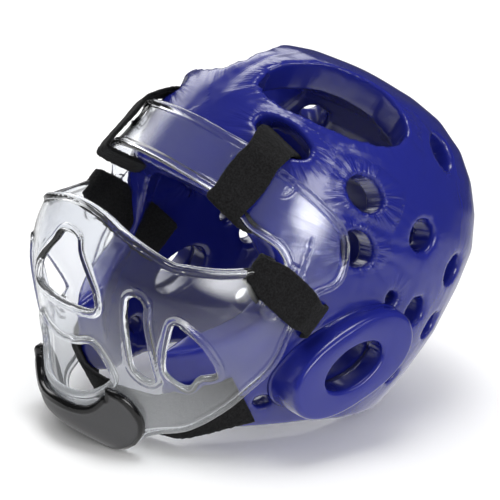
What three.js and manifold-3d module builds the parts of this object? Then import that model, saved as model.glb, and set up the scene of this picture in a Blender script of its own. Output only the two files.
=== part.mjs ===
// Karate headgear: a dipped foam shell with ear pads, a clear face shield with a chin cup, and its straps.
// The shapes are drawn round a worn head: X to the wearer's left, Y to the back, Z up, with the origin
// midway between the ear holes. The finished group is then leant back onto the floor plane Z = 0.
import * as THREE from "three";
import { mergeVertices } from "three/addons/utils/BufferGeometryUtils.js";
import Module from "manifold-3d";

const wasm = await Module();
wasm.setup();

// Foam shell
const SHELL_HALF = 90.5; // half width over the temples
const SHELL_FRONT = 106; // reach of the forehead in front of the ear holes
const SHELL_BACK = 112; // reach behind the ear holes
const CROWN = 154; // height of the crown above the ear holes
const WALL = 17; // foam thickness
const SHELL_POWER = 2.45; // squareness of the level sections, 2 for an ellipse
const VENT_SIDES = 14;
const RING_SIDES = 56; // sides of every level section
const LEAN = THREE.MathUtils.degToRad(27.8); // how far the resting headgear leans back
const FLOOR_DROP = 62; // the floor's distance below the ear holes when it rests

// Ear pads
const PAD_LENGTH = 90;
const PAD_WIDTH = 50;
const PAD_RISE = 12.5; // height of the pad's face over the widest part of the shell
const PAD_FACE = SHELL_HALF + PAD_RISE; // its distance from the middle of the head
const PAD_BEVEL = 4;
const EAR_HOLE_LENGTH = 43;
const EAR_HOLE_WIDTH = 24;
const PAD_LEAN = THREE.MathUtils.degToRad(40); // from upright, towards the back
const PAD_PLACE = { y: 0, z: -5.5 };
const EAR_PLACE = { y: -0.5, z: -6 };

// Face shield and chin cup
const SHIELD_STAND = 7.5; // how far the mask's cheeks stand out past the shell
const SHIELD_HALF = SHELL_HALF + SHIELD_STAND; // half width of the mask at the cheeks
const SHIELD_REACH = 150; // reach of the nose in front of the ear holes
const MASK_DROP = 102; // depth of the mask's chin below the ear holes
const SHIELD_WALL = 3;
const SHIELD_BACK = 40; // the section's depth behind the ear holes, all of it cut away
const CUP_WALL = 6.5;
const CHIN_START = 0.6; // share of MASK_DROP where the mask starts to curve in under the chin

// Straps
const STRAP_THICK = 2.4;
const UPPER_STRAP_WIDTH = 27;
const LOWER_STRAP_WIDTH = 25;
const CHIN_STRAP_WIDTH = 38;
const STRAP_CLEAR = 1; // clearance under a strap, because it runs straight from stop to stop
const GAP = 0.4; // clearance between touching pieces

// Level sections of the shell: height as a share of CROWN, the rest as shares of their named sizes.
const SHELL_ROWS = [
  { level: -0.62, half: 0.54, front: 0.7, back: 0.6 },
  { level: -0.49, half: 0.66, front: 0.8, back: 0.68 },
  { level: -0.36, half: 0.79, front: 0.9, back: 0.74 },
  { level: -0.25, half: 0.88, front: 0.97, back: 0.8 },
  { level: -0.125, half: 0.95, front: 1, back: 0.85 },
  { level: 0, half: 0.98, front: 0.98, back: 0.91 },
  { level: 0.2, half: 1, front: 1, back: 0.98 },
  { level: 0.4, half: 0.99, front: 1, back: 1 },
  { level: 0.55, half: 0.96, front: 0.98, back: 1 },
  { level: 0.68, half: 0.9, front: 0.92, back: 0.92 },
  { level: 0.79, half: 0.81, front: 0.81, back: 0.81 },
  { level: 0.88, half: 0.69, front: 0.68, back: 0.68 },
  { level: 0.95, half: 0.52, front: 0.5, back: 0.5 },
  { level: 0.985, half: 0.33, front: 0.31, back: 0.31 },
  { level: 1, half: 0.1, front: 0.09, back: 0.1 },
];

// Side view of what is cut off for the face and for the neck: y as a share of SHELL_FRONT, z of CROWN.
const FACE_EDGE = [
  { y: -1.415, z: 0.312 },
  { y: -0.925, z: 0.312 },
  { y: -0.755, z: 0.273 },
  { y: -0.623, z: 0.182 },
  { y: -0.547, z: 0.065 },
  { y: -0.566, z: -0.026 },
  { y: -0.66, z: -0.143 },
  { y: -0.811, z: -0.286 },
  { y: -0.925, z: -0.377 },
  { y: -1.415, z: -0.403 },
];
const NECK_EDGE = [
  { y: -1.415, z: -0.403 },
  { y: -0.925, z: -0.429 },
  { y: -0.708, z: -0.506 },
  { y: -0.472, z: -0.519 },
  { y: -0.189, z: -0.429 },
  { y: 0.094, z: -0.325 },
  { y: 0.377, z: -0.247 },
  { y: 0.66, z: -0.175 },
  { y: 1.415, z: -0.091 },
  { y: 1.415, z: -0.974 },
  { y: -1.415, z: -0.974 },
];
const CHIN_GAP_HALF = 42; // half of the gap between the two jaw flaps
const CHIN_GAP_TOP = -30; // height where that gap starts
const CHIN_GAP_BACK = -20;

// Holes through the shell on the wearer's left, each with a twin on the right: the centre as shares of
// SHELL_HALF, SHELL_FRONT and CROWN, the length and width in mm, and the length's turn from level in
// degrees. The first is the crown opening and the second is the slot for the upper strap.
const SHELL_HOLES = [
  { x: 0.497, y: -0.472, z: 0.831, length: 92, width: 54, turn: 9 },
  { x: 0.575, y: -0.774, z: 0.617, length: 38, width: 17, turn: -10 },
  { x: 0.895, y: -0.311, z: 0.558, length: 29, width: 18, turn: -12 },
  { x: 0.983, y: -0.236, z: 0.364, length: 27, width: 20, turn: -12 },
  { x: 0.707, y: 0.236, z: 0.831, length: 25, width: 18, turn: -50 },
  { x: 0.939, y: 0.189, z: 0.513, length: 21, width: 20, turn: 0 },
  { x: 0.862, y: 0.594, z: 0.448, length: 20, width: 16, turn: 70 },
  { x: 0.994, y: 0.151, z: 0.247, length: 9, width: 9, turn: 0 },
  { x: 0.972, y: 0.396, z: 0.24, length: 19, width: 17, turn: 60 },
  { x: 0.884, y: 0.66, z: 0.214, length: 18, width: 13, turn: 70 },
  { x: 0.95, y: 0.547, z: -0.026, length: 13, width: 9, turn: 40 },
  { x: 0.884, y: -0.255, z: -0.305, length: 13, width: 8, turn: 20 },
];

// Level sections of the face shield: height as a share of MASK_DROP, half width of SHIELD_HALF, reach of
// SHIELD_REACH, and the squareness of the section, 2 for an ellipse. The views below use the same shares.
const SHIELD_ROWS = [
  { z: -1.015, half: 0.44, reach: 0.6, power: 2 },
  { z: -0.99, half: 0.52, reach: 0.655, power: 2 },
  { z: -0.912, half: 0.6, reach: 0.71, power: 2 },
  { z: -0.647, half: 0.765, reach: 0.813, power: 2.15 },
  { z: -0.451, half: 0.87, reach: 0.893, power: 2.35 },
  { z: -0.275, half: 0.97, reach: 0.953, power: 2.5 },
  { z: -0.049, half: 1, reach: 1, power: 2.5 },
  { z: 0.108, half: 0.99, reach: 0.993, power: 2.5 },
  { z: 0.294, half: 0.985, reach: 0.92, power: 2.5 },
  { z: 0.52, half: 0.965, reach: 0.8, power: 2.4 },
  { z: 0.833, half: 0.93, reach: 0.735, power: 2.4 },
  { z: 1.02, half: 0.9, reach: 0.7, power: 2.4 },
];
// Side view of the shield: its outer edge, from the forehead round the lobe and the mask's arm to the chin.
const SHIELD_EDGE = [
  { y: -1, z: 0.843 },
  { y: -0.713, z: 0.824 },
  { y: -0.567, z: 0.765 },
  { y: -0.46, z: 0.725 },
  { y: -0.34, z: 0.667 },
  { y: -0.267, z: 0.598 },
  { y: -0.22, z: 0.471 },
  { y: -0.212, z: 0.36 },
  { y: -0.24, z: 0.285 },
  { y: -0.295, z: 0.21 },
  { y: -0.33, z: 0.06 },
  { y: -0.338, z: -0.06 },
  { y: -0.33, z: -0.16 },
  { y: -0.33, z: -0.32 },
  { y: -0.332, z: -0.565 },
  { y: -0.375, z: -0.775 },
  { y: -0.466, z: -0.918 },
  { y: -0.48, z: -1.176 },
  { y: -1.067, z: -1.176 },
];
// Front view of half the eye opening, from the nose to the brow.
const EYE_EDGE = [
  { x: 0, z: 0.147 },
  { x: 0.204, z: 0.132 },
  { x: 0.408, z: 0.088 },
  { x: 0.633, z: 0.052 },
  { x: 0.711, z: 0.074 },
  { x: 0.767, z: 0.105 },
  { x: 0.8, z: 0.13 },
  { x: 0.814, z: 0.14 },
  { x: 0.826, z: 0.088 },
  { x: 0.85, z: 0.066 },
  { x: 0.908, z: 0.069 },
  { x: 0.918, z: 0.127 },
  { x: 0.908, z: 0.294 },
  { x: 0.857, z: 0.373 },
  { x: 0.755, z: 0.402 },
  { x: 0.653, z: 0.456 },
  { x: 0.459, z: 0.505 },
  { x: 0, z: 0.525 },
];
// Front views of the mask's two middle vents, right halves from top to bottom.
const NOSE_VENT = [
  { x: 0.071, z: -0.059 },
  { x: 0.133, z: -0.137 },
  { x: 0.245, z: -0.245 },
  { x: 0.296, z: -0.314 },
  { x: 0.276, z: -0.392 },
  { x: 0, z: -0.422 },
];
const MOUTH_VENT = [
  { x: 0, z: -0.627 },
  { x: 0.143, z: -0.608 },
  { x: 0.265, z: -0.569 },
  { x: 0.347, z: -0.647 },
  { x: 0.347, z: -0.725 },
  { x: 0.204, z: -0.843 },
  { x: 0, z: -0.882 },
];
const SLOT_VENT = { x: 0.54, z: -0.41, length: 42, width: 9, lean: THREE.MathUtils.degToRad(4) };
// Side view of the cheek vent.
const CHEEK_VENT = [
  { y: -0.747, z: -0.255 },
  { y: -0.673, z: -0.275 },
  { y: -0.587, z: -0.324 },
  { y: -0.487, z: -0.412 },
  { y: -0.52, z: -0.48 },
  { y: -0.52, z: -0.559 },
  { y: -0.62, z: -0.529 },
  { y: -0.693, z: -0.402 },
];
// Side view of the chin cup's edges, and the front view of the notch in its rim.
const CUP_EDGE = [
  { y: -1, z: -0.7 },
  { y: -0.76, z: -0.73 },
  { y: -0.712, z: -0.742 },
  { y: -0.689, z: -0.741 },
  { y: -0.651, z: -0.738 },
  { y: -0.605, z: -0.762 },
  { y: -0.55, z: -0.81 },
  { y: -0.508, z: -0.875 },
  { y: -0.486, z: -0.945 },
  { y: -0.485, z: -1.01 },
  { y: -0.498, z: -1.569 },
  { y: -1, z: -1.569 },
];
const CUP_NOTCH = [
  { x: 0, z: -0.925 },
  { x: 0.15, z: -0.915 },
  { x: 0.25, z: -0.875 },
  { x: 0.32, z: -0.8 },
  { x: 0.345, z: -0.74 },
  { x: 0.345, z: -0.392 },
  { x: 0, z: -0.392 },
];

// Routes of the straps' middles. A stop on the shell or the shield has y and z as shares of that piece's
// front reach and height, and its depth under the surface as a share of WALL, 0 for on top of it. A free
// stop has x, y and z as shares of SHELL_HALF, SHELL_FRONT and CROWN.
const UPPER_ROUTE = [
  { on: "shield", y: -0.698, z: 0.49, deep: 0 },
  { on: "shield", y: -0.66, z: 0.647, deep: 0 },
  { on: "shield", y: -0.63, z: 0.794, deep: 0 },
  { on: "shell", y: -0.83, z: 0.575, deep: 0 },
  { on: "shell", y: -0.822, z: 0.598, deep: 0.12 },
  { on: "shell", y: -0.815, z: 0.602, deep: 0.5 },
  { on: "shell", y: -0.81, z: 0.602, deep: 1.15 },
  { on: "shell", y: -0.835, z: 0.545, deep: 1.21 },
  { on: "shell", y: -0.865, z: 0.45, deep: 1.15 },
  { on: "shell", y: -0.87, z: 0.338, deep: 1.15 },
  { on: "shell", y: -0.87, z: 0.279, deep: 0.5 },
  { on: "shell", y: -0.87, z: 0.276, deep: 0.02 },
  { on: "shield", y: -0.705, z: 0.417, deep: 0.3 },
  { on: "shield", y: -0.725, z: 0.425, deep: 0.02 },
];
const LOWER_ROUTE = [
  { on: "shield", y: -0.573, z: 0.216, deep: 0 },
  { on: "shield", y: -0.467, z: 0.176, deep: 0 },
  { on: "shield", y: -0.367, z: 0.132, deep: 0 },
  { on: "shield", y: -0.313, z: 0.108, deep: 0 },
  { on: "shield", y: -0.27, z: 0.093, deep: 0.02 },
  { on: "shield", y: -0.233, z: 0.083, deep: 0.15 },
  { on: "shell", y: -0.297, z: 0.052, deep: 0.02 },
  { on: "shell", y: -0.283, z: 0.049, deep: 0.5 },
  { on: "shell", y: -0.292, z: 0.049, deep: 1.15 },
  { on: "shell", y: -0.406, z: 0.065, deep: 1.21 },
  { on: "shell", y: -0.509, z: 0.078, deep: 1.15 },
  { on: "shell", y: -0.585, z: 0.091, deep: 1 },
  { on: "shell", y: -0.632, z: 0.104, deep: 0.5 },
  { on: "shield", y: -0.547, z: 0.196, deep: 0.35 },
  { on: "shield", y: -0.593, z: 0.216, deep: 0.18 },
];
const CHIN_ROUTE = [
  { on: "shell", y: -0.377, z: -0.325, deep: 0 },
  { on: "shell", y: -0.472, z: -0.403, deep: 0 },
  { on: "shell", y: -0.528, z: -0.461, deep: 0 },
  { x: 0.486, y: -0.585, z: -0.513 },
  { x: 0.265, y: -0.651, z: -0.542 },
  { x: 0.133, y: -0.675, z: -0.552 },
  { x: 0, y: -0.679, z: -0.555 },
];
// Directions of the straps' widths, level round the brow, upright on the cheek, and tipped under the chin.
const UPPER_ACROSS = new THREE.Vector3(0.83, 0.46, -0.3);
const LOWER_ACROSS = new THREE.Vector3(0, 0.25, 0.97);
const CHIN_ACROSS = new THREE.Vector3(0, 0.85, -0.52);
const BEYOND = 200; // farther out than any part of the headgear

const FOAM = new THREE.MeshStandardMaterial({ color: 0x1d1f8f, roughness: 0.28, metalness: 0 });
const CLEAR = new THREE.MeshStandardMaterial({ color: 0xdfe4ec, roughness: 0.08, metalness: 0 });
const CUP_BLACK = new THREE.MeshStandardMaterial({ color: 0x2a2a2b, roughness: 0.45, metalness: 0 });
const STRAP_BLACK = new THREE.MeshStandardMaterial({ color: 0x131314, roughness: 0.95, metalness: 0 });

// A closed mesh as a solid that can be joined and cut.
function solid(geometry) {
  const plain = geometry.clone();
  plain.deleteAttribute("normal");
  plain.deleteAttribute("uv");
  const merged = mergeVertices(plain, 1e-4);
  return new wasm.Manifold(
    new wasm.Mesh({
      numProp: 3,
      vertProperties: merged.attributes.position.array,
      triVerts: new Uint32Array(merged.index.array),
    }),
  );
}

function meshOf(name, body, material) {
  const made = body.getMesh();
  const geometry = new THREE.BufferGeometry();
  geometry.setAttribute("position", new THREE.BufferAttribute(new Float32Array(made.vertProperties), 3));
  geometry.setIndex(new THREE.BufferAttribute(new Uint32Array(made.triVerts), 1));
  const flat = geometry.toNonIndexed();
  flat.computeVertexNormals();
  const mesh = new THREE.Mesh(flat, material);
  mesh.name = name;
  return mesh;
}

// Rings of points with the same count, joined into a closed body, or into a loop when closed is true.
function loft(rings, closed = false) {
  const count = rings[0].length;
  const positions = rings.flat().flatMap((p) => [p.x, p.y, p.z]);
  const index = [];
  const last = closed ? rings.length : rings.length - 1;
  for (let i = 0; i < last; i++) {
    const next = (i + 1) % rings.length;
    for (let j = 0; j < count; j++) {
      const k = (j + 1) % count;
      const [a, b, c, d] = [i * count + j, i * count + k, next * count + k, next * count + j];
      index.push(a, b, c, a, c, d);
    }
  }
  if (!closed) {
    for (let j = 1; j < count - 1; j++) {
      const top = (rings.length - 1) * count;
      index.push(0, j + 1, j, top, top + j, top + j + 1);
    }
  }
  const geometry = new THREE.BufferGeometry();
  geometry.setAttribute("position", new THREE.Float32BufferAttribute(positions, 3));
  geometry.setIndex(index);
  return solid(geometry);
}

// One level section: a rounded outline with its own reach to the front and to the back.
function levelRing(z, half, front, back, power) {
  return Array.from({ length: RING_SIDES }, (_, i) => {
    const angle = (i / RING_SIDES) * 2 * Math.PI;
    const [c, s] = [Math.cos(angle), Math.sin(angle)];
    const depth = s < 0 ? front : back;
    return new THREE.Vector3(
      half * Math.sign(c) * Math.abs(c) ** (2 / power),
      depth * Math.sign(s) * Math.abs(s) ** (2 / power),
      z,
    );
  });
}

// The shell's form, made smaller by inset all round. The lowest level is kept or lowered, so that the
// inner form opens the neck.
function shellForm(inset) {
  const rings = SHELL_ROWS.map((row) => {
    const z = row.level * (row.level > 0 ? CROWN - inset : CROWN + inset);
    const shrink = (size) => Math.max(size - inset, size * 0.3);
    return levelRing(
      z,
      shrink(row.half * SHELL_HALF),
      shrink(row.front * SHELL_FRONT),
      shrink(row.back * SHELL_BACK),
      SHELL_POWER,
    );
  });
  return loft(rings);
}

// The shield's form grown outwards by grow, or shrunk where grow is negative.
function shieldForm(grow) {
  const rings = SHIELD_ROWS.map((row) =>
    levelRing(
      row.z * MASK_DROP - grow * THREE.MathUtils.smoothstep(-row.z, CHIN_START, 1),
      row.half * SHIELD_HALF + grow,
      row.reach * SHIELD_REACH + grow,
      SHIELD_BACK + grow,
      row.power,
    ),
  );
  return loft(rings);
}

function outline(points, across) {
  return new THREE.Shape(points.map((p) => new THREE.Vector2(p[across], p.z)));
}

const scaled = (points, sizes) =>
  points.map((p) => ({ x: p.x * sizes.x, y: p.y * sizes.y, z: p.z * sizes.z }));
const onShell = (points) => scaled(points, { x: SHELL_HALF, y: SHELL_FRONT, z: CROWN });
const onShield = (points) => scaled(points, { x: SHIELD_HALF, y: SHIELD_REACH, z: MASK_DROP });

// Turns a shape drawn in Y and Z, and thickened along the drawing's third axis, to lie across the head.
const SIDE_ON = new THREE.Matrix4().makeBasis(
  new THREE.Vector3(0, 1, 0),
  new THREE.Vector3(0, 0, 1),
  new THREE.Vector3(1, 0, 0),
);

// A side view outline as a bar across the head, from one distance from its middle to another.
function sideBar(points, from = -BEYOND) {
  const bar = new THREE.ExtrudeGeometry(outline(points, "y"), { depth: BEYOND - from, bevelEnabled: false });
  bar.translate(0, 0, from);
  bar.applyMatrix4(SIDE_ON);
  return solid(bar);
}

// The right half of a front view outline, mirrored, as a bar from in front of the face to behind the mask.
function frontBar(points) {
  const back = -0.4 * SHIELD_REACH;
  const twins = points.filter((p) => p.x > 0).map((p) => ({ x: -p.x, z: p.z }));
  const whole = [...points, ...twins.reverse()];
  const bar = new THREE.ExtrudeGeometry(outline(whole, "x"), { depth: BEYOND + back, bevelEnabled: false });
  bar.rotateX(Math.PI / 2);
  bar.translate(0, back, 0);
  return solid(bar);
}

// An oval bar of the given length and width through a point, along a direction.
function ovalBar(place, direction, length, width, turn) {
  const oval = new THREE.Shape();
  oval.absellipse(0, 0, length / 2, width / 2, 0, 2 * Math.PI, false, 0);
  const depth = 5 * WALL;
  const bar = new THREE.ExtrudeGeometry(oval, { depth, bevelEnabled: false, curveSegments: VENT_SIDES / 2 });
  bar.translate(0, 0, -depth / 2);
  bar.rotateZ(turn);
  const ahead = direction.clone().normalize();
  const level = new THREE.Vector3().crossVectors(new THREE.Vector3(0, 0, 1), ahead).normalize();
  const upward = new THREE.Vector3().crossVectors(ahead, level);
  bar.applyMatrix4(new THREE.Matrix4().makeBasis(level, upward, ahead));
  bar.translate(place.x, place.y, place.z);
  return solid(bar);
}

const shellTable = SHELL_ROWS.map((row) => ({
  z: row.level * CROWN,
  half: row.half * SHELL_HALF,
  depth: row.front * SHELL_FRONT,
  power: SHELL_POWER,
}));
const shieldTable = SHIELD_ROWS.map((row) => ({
  z: row.z * MASK_DROP,
  half: row.half * SHIELD_HALF,
  depth: row.reach * SHIELD_REACH,
  power: row.power,
}));

// The level section of a form at height z, from its table.
function sectionAt(table, z) {
  const above = Math.max(table.findIndex((row) => row.z >= z), 1);
  const [low, high] = [table[above - 1], table[above]];
  const share = (z - low.z) / (high.z - low.z);
  return {
    half: THREE.MathUtils.lerp(low.half, high.half, share),
    depth: THREE.MathUtils.lerp(low.depth, high.depth, share),
    power: THREE.MathUtils.lerp(low.power, high.power, share),
  };
}

// A stop of a strap's route as a point.
function placeOf(stop) {
  if (!stop.on) return new THREE.Vector3(stop.x * SHELL_HALF, stop.y * SHELL_FRONT, stop.z * CROWN);
  const onMask = stop.on === "shield";
  const z = stop.z * (onMask ? MASK_DROP : CROWN);
  const { half, depth, power } = sectionAt(onMask ? shieldTable : shellTable, z);
  const out = stop.deep > 0 ? -stop.deep * WALL : STRAP_THICK / 2 + STRAP_CLEAR;
  const forward = (-stop.y * (onMask ? SHIELD_REACH : SHELL_FRONT)) / depth;
  const aside = (1 - forward ** power) ** (1 / power);
  return new THREE.Vector3((half + out) * aside, -(depth + out) * forward, z);
}

// A flat strap along a route of points, closed into a loop or open, with one direction for its width.
function ribbon(places, across, width, thick, closed) {
  const count = places.length;
  const side = across.clone().normalize();
  const rings = places.map((place, i) => {
    const before = places[closed ? (i + count - 1) % count : Math.max(i - 1, 0)];
    const after = places[closed ? (i + 1) % count : Math.min(i + 1, count - 1)];
    const along = after.clone().sub(before).normalize();
    const out = new THREE.Vector3().crossVectors(along, side).normalize();
    const corner = (a, b) =>
      place.clone().addScaledVector(side, (a * width) / 2).addScaledVector(out, (b * thick) / 2);
    return [corner(-1, -1), corner(1, -1), corner(1, 1), corner(-1, 1)];
  });
  return loft(rings, closed);
}

// The outward direction of the shell's surface near a point on it.
function outwardAt(place) {
  const slope = (value, size) => (Math.sign(value) * (Math.abs(value) / size) ** (SHELL_POWER - 1)) / size;
  const depth = place.y < 0 ? SHELL_FRONT : SHELL_BACK;
  const upward = slope(Math.max(place.z, 0), CROWN);
  return new THREE.Vector3(slope(place.x, SHELL_HALF), slope(place.y, depth), upward);
}

const mirrored = (body) => body.mirror([1, 0, 0]);

// The straps, made wider and thicker by extra to give the room they need in the foam.
function makeStraps(extra) {
  const thick = STRAP_THICK + extra;
  const upper = ribbon(UPPER_ROUTE.map(placeOf), UPPER_ACROSS, UPPER_STRAP_WIDTH + extra, thick, true);
  const lower = ribbon(LOWER_ROUTE.map(placeOf), LOWER_ACROSS, LOWER_STRAP_WIDTH + extra, thick, true);
  const left = CHIN_ROUTE.map(placeOf);
  const right = left.slice(0, -1).reverse().map((place) => new THREE.Vector3(-place.x, place.y, place.z));
  return {
    upper_strap_left: upper,
    upper_strap_right: mirrored(upper),
    lower_strap_left: lower,
    lower_strap_right: mirrored(lower),
    chin_strap: ribbon([...left, ...right], CHIN_ACROSS, CHIN_STRAP_WIDTH + extra, thick, false),
  };
}

const floorBlock = new THREE.BoxGeometry(3 * BEYOND, 3 * BEYOND, BEYOND);
floorBlock.translate(0, 0, -FLOOR_DROP - BEYOND / 2);
floorBlock.rotateX(LEAN);
const belowFloor = solid(floorBlock);

function makeShell() {
  const chinGap = new THREE.BoxGeometry(2 * CHIN_GAP_HALF, BEYOND, BEYOND);
  chinGap.translate(0, CHIN_GAP_BACK - BEYOND / 2, CHIN_GAP_TOP - BEYOND / 2);
  const cuts = [sideBar(onShell(FACE_EDGE)), sideBar(onShell(NECK_EDGE)), solid(chinGap), belowFloor];
  const places = onShell(SHELL_HOLES);
  SHELL_HOLES.forEach(({ length, width, turn }, i) => {
    const bar = ovalBar(places[i], outwardAt(places[i]), length, width, THREE.MathUtils.degToRad(turn));
    cuts.push(bar, mirrored(bar));
  });
  const earHole = sideways(earOval(EAR_PLACE, EAR_HOLE_LENGTH, EAR_HOLE_WIDTH), WALL, BEYOND, 0);
  cuts.push(earHole, mirrored(earHole), ...Object.values(makeStraps(2 * GAP)));
  cuts.push(sideBar(onShield(SHIELD_EDGE)).subtract(shieldForm(-SHIELD_WALL - GAP)));
  let shell = shellForm(0).subtract(shellForm(WALL));
  for (const cut of cuts) shell = shell.subtract(cut);
  // The largest body is the shell: a crumb of foam between two cuts is left out.
  return shell.decompose().sort((a, b) => b.volume() - a.volume())[0];
}

function earOval(place, length, width) {
  const oval = new THREE.Shape();
  oval.absellipse(place.y, place.z, length / 2, width / 2, 0, 2 * Math.PI, false, Math.PI / 2 - PAD_LEAN);
  return oval;
}

// An ear pad's outline or hole, from one distance from the middle of the head to another.
function sideways(shape, from, to, bevel) {
  const bar = new THREE.ExtrudeGeometry(shape, {
    depth: to - from - bevel,
    bevelEnabled: bevel > 0,
    bevelThickness: bevel,
    bevelSize: bevel,
    bevelOffset: -bevel,
    bevelSegments: 3,
    curveSegments: 20,
  });
  bar.translate(0, 0, from);
  bar.applyMatrix4(SIDE_ON);
  return solid(bar);
}

function makeEarPad() {
  const ring = sideways(earOval(PAD_PLACE, PAD_LENGTH, PAD_WIDTH), SHELL_HALF / 2, PAD_FACE, PAD_BEVEL);
  const hole = sideways(earOval(EAR_PLACE, EAR_HOLE_LENGTH, EAR_HOLE_WIDTH), 0, BEYOND, 0);
  return ring.subtract(hole).subtract(shellForm(-GAP));
}

function makeShield() {
  const slotShape = new THREE.Shape();
  const end = (SLOT_VENT.length - SLOT_VENT.width) / 2;
  slotShape.absarc(0, end, SLOT_VENT.width / 2, 0, Math.PI, false);
  slotShape.absarc(0, -end, SLOT_VENT.width / 2, Math.PI, 2 * Math.PI, false);
  const slot = new THREE.ExtrudeGeometry(slotShape, { depth: BEYOND, bevelEnabled: false, curveSegments: 6 });
  slot.rotateX(Math.PI / 2);
  slot.rotateY(SLOT_VENT.lean);
  slot.translate(SLOT_VENT.x * SHIELD_HALF, -SHIELD_REACH / 2, SLOT_VENT.z * MASK_DROP);
  const cuts = [EYE_EDGE, NOSE_VENT, MOUTH_VENT].map((edge) => frontBar(onShield(edge)));
  for (const side of [solid(slot), sideBar(onShield(CHEEK_VENT), 0)]) cuts.push(side, mirrored(side));
  let shield = shieldForm(0).subtract(shieldForm(-SHIELD_WALL)).intersect(sideBar(onShield(SHIELD_EDGE)));
  for (const cut of cuts) shield = shield.subtract(cut);
  return shield;
}

function makeCup() {
  return shieldForm(CUP_WALL)
    .subtract(shieldForm(GAP))
    .intersect(sideBar(onShield(CUP_EDGE)))
    .subtract(frontBar(onShield(CUP_NOTCH)))
    .subtract(belowFloor);
}

const headgear = new THREE.Group();
const pad = makeEarPad();
headgear.add(meshOf("foam_shell", makeShell(), FOAM));
headgear.add(meshOf("ear_pad_left", pad, FOAM), meshOf("ear_pad_right", mirrored(pad), FOAM));
headgear.add(meshOf("face_shield", makeShield(), CLEAR), meshOf("chin_cup", makeCup(), CUP_BLACK));
for (const [name, strap] of Object.entries(makeStraps(0))) headgear.add(meshOf(name, strap, STRAP_BLACK));

// Lean the headgear back until it rests, then put the middle of its underside at the origin.
headgear.rotation.x = -LEAN;
headgear.updateMatrixWorld(true);
const box = new THREE.Box3().setFromObject(headgear, true);
const middle = box.getCenter(new THREE.Vector3());
headgear.position.set(-middle.x, -middle.y, -box.min.z);

const part = new THREE.Group();
part.add(headgear);
export default part;
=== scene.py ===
import bpy
import math
import numpy as np
from mathutils import Matrix, Vector, noise


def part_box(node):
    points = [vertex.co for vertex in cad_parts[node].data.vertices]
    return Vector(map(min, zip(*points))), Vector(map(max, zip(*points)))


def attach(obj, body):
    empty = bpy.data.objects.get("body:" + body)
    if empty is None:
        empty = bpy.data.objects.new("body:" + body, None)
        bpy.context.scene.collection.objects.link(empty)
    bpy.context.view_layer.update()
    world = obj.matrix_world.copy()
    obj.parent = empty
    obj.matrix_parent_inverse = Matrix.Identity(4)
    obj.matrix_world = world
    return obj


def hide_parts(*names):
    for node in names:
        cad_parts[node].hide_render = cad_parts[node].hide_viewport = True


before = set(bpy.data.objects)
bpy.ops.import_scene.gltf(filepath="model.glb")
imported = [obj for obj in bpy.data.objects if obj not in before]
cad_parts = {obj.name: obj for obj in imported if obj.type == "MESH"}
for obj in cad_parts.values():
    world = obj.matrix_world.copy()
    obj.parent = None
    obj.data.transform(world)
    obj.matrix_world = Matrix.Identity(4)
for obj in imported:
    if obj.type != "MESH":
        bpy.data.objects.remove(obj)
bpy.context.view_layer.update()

bl_info = {
    "name": "Karate Headgear",
    "version": (1, 0, 0),
    "blender": (4, 5, 0),
    "location": "View3D > Sidebar > Headgear",
    "description": "Builds a padded karate headgear with a clear face shield round its packed model",
    "category": "Object",
}

MM = 0.001

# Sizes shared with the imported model
SHELL_HALF = 90.5
SHELL_FRONT = 106
SHELL_BACK = 112
CROWN = 154
WALL = 17
SHELL_POWER = 2.45
LEAN = math.radians(27.8)
PAD_LENGTH = 90
PAD_WIDTH = 50
PAD_FACE = 103
PAD_LEAN = math.radians(40)
PAD_PLACE = (0, -5.5)
EAR_PLACE = (-0.5, -6)
EAR_HOLE_LENGTH = 43
EAR_HOLE_WIDTH = 24
SHIELD_HALF = 98
SHIELD_REACH = 150
SHIELD_POWER = 2.5  # squareness of its widest section
MASK_DROP = 102
MASK_SWEEP = math.radians(112)  # how far round from the front the mask's surface is worked out
AHEAD = 0.4  # share of SHIELD_REACH past which a point belongs to the mask's front
CUP_WALL = 6.5
STRAP_CLEAR = 1
UPPER_STRAP_WIDTH = 27
LOWER_STRAP_WIDTH = 25
CHIN_STRAP_WIDTH = 38
GAP = 0.4
BACK_SHARE = 0.93  # depth of the shell behind the ears, as a share of SHELL_BACK
FOLD_SPACING = 8.5
FOLD_REACH = 11  # how far the folds run from a hole before they fade
CREASE_REACH = 14
CREASE_SPREAD = (5, 5, 0.8)  # how fast the finer creases change round a hole and away from it

# Level sections of the shell: level as a share of CROWN, then shares of SHELL_HALF and SHELL_FRONT.
SHELL_ROWS = [
    (-0.62, 0.54, 0.7),
    (-0.49, 0.66, 0.8),
    (-0.36, 0.79, 0.9),
    (-0.25, 0.88, 0.97),
    (-0.125, 0.95, 1),
    (0, 0.98, 0.98),
    (0.2, 1, 1),
    (0.4, 0.99, 1),
    (0.55, 0.96, 0.98),
    (0.68, 0.9, 0.92),
    (0.79, 0.81, 0.81),
    (0.88, 0.69, 0.68),
    (0.95, 0.52, 0.5),
    (1, 0.1, 0.09),
]
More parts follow.
